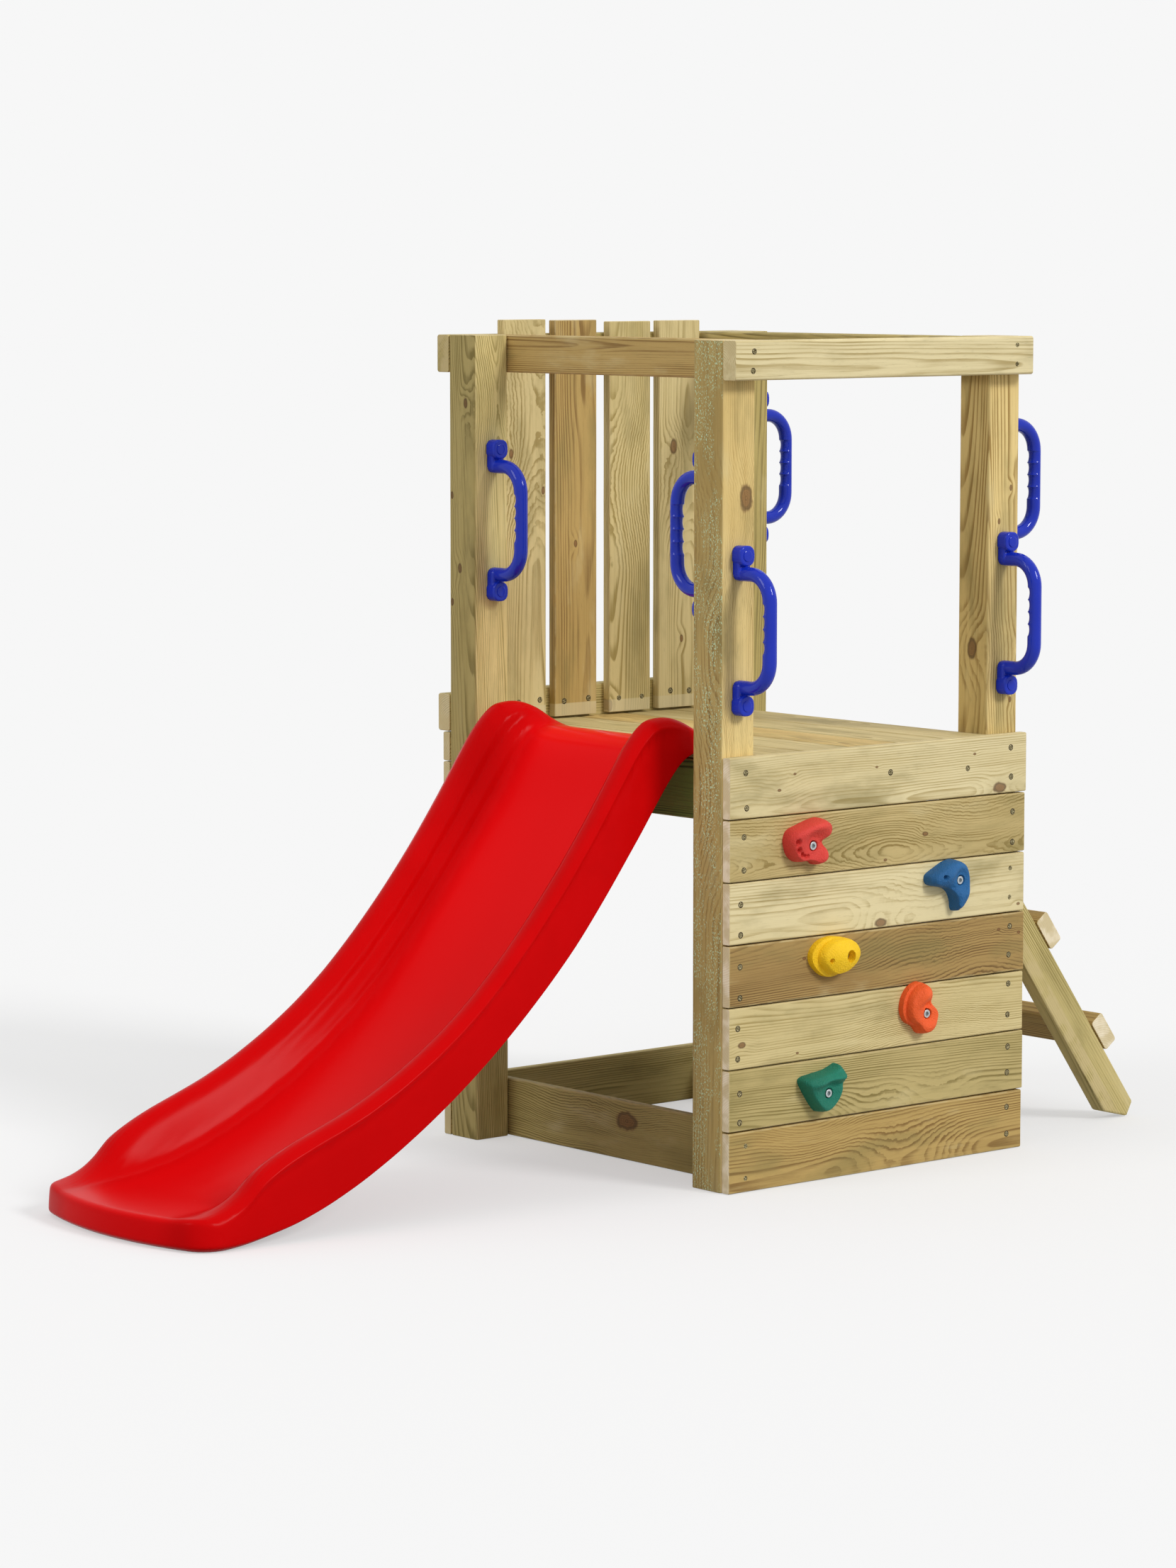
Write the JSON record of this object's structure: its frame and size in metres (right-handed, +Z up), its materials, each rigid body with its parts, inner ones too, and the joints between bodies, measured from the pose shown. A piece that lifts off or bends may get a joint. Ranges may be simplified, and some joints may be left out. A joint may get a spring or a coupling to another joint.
{
  "type": "climbing tower with slide",
  "caption": "Timber play tower with a raised deck, moulded slide, slatted fence, climbing wall with holds, leaning ladder and grab handles.",
  "frame": {"origin": "middle of the whole object's footprint, on the ground", "axes": "+Z up, the slide runs down towards -Y, the ladder leans against the tower from +Y, the climbing wall faces +X"},
  "size_m": [0.7402, 1.8226, 1.272],
  "materials": {
    "pine_post": "green-brown pressure-treated pine, planed, with knots, grain and small salt marks",
    "pine_rail": "green-brown pressure-treated pine, planed, with knots, grain and small salt marks",
    "pine_board": "green-brown pressure-treated pine, planed, with knots, grain and small salt marks",
    "slide_plastic": "glossy moulded red plastic with a faint orange-peel",
    "handle_plastic": "glossy moulded royal blue plastic",
    "hold_red": "grainy matt resin",
    "hold_blue": "grainy matt resin",
    "hold_yellow": "grainy matt resin",
    "hold_orange": "grainy matt resin",
    "hold_green": "grainy matt resin",
    "zinc_steel": "zinc-plated socket heads"
  },
  "bodies": {
    "root": {"base_board_back": "pine_board", "base_board_front": "pine_board", "base_board_left": "pine_board", "bolt_blue": "zinc_steel", "bolt_green": "zinc_steel", "bolt_orange": "zinc_steel", "bolt_red": "zinc_steel", "bolt_yellow": "zinc_steel", "deck_beam_back": "pine_board", "deck_beam_front": "pine_board", "deck_board_1": "pine_board", "deck_board_2": "pine_board", "deck_board_3": "pine_board", "deck_board_4": "pine_board", "deck_board_5": "pine_board", "deck_joist_middle": "pine_rail", "deck_ledger_left": "pine_rail", "deck_ledger_right": "pine_rail", "fence_slat_1": "pine_board", "fence_slat_2": "pine_board", "fence_slat_3": "pine_board", "fence_slat_4": "pine_board", "handle_ladder_left": "handle_plastic", "handle_ladder_right": "handle_plastic", "handle_slide_left": "handle_plastic", "handle_slide_right": "handle_plastic", "handle_wall_back": "handle_plastic", "handle_wall_front": "handle_plastic", "hold_blue": "hold_blue", "hold_green": "hold_green", "hold_orange": "hold_orange", "hold_red": "hold_red", "hold_yellow": "hold_yellow", "ladder_rung_1": "pine_rail", "ladder_rung_2": "pine_rail", "ladder_rung_3": "pine_rail", "ladder_side_left": "pine_rail", "ladder_side_right": "pine_rail", "post_back_left": "pine_post", "post_back_right": "pine_post", "post_front_left": "pine_post", "post_front_right": "pine_post", "side_board_left_narrow": "pine_board", "side_board_left_wide": "pine_board", "side_rail_left": "pine_rail", "slide": "slide_plastic", "top_rail_back": "pine_rail", "top_rail_front": "pine_rail", "top_rail_left": "pine_rail", "top_rail_right": "pine_rail", "wall_board_1": "pine_board", "wall_board_2": "pine_board", "wall_board_3": "pine_board", "wall_board_4": "pine_board", "wall_board_5": "pine_board", "wall_board_6": "pine_board", "wall_board_7": "pine_board"}
  },
  "joints": []
}
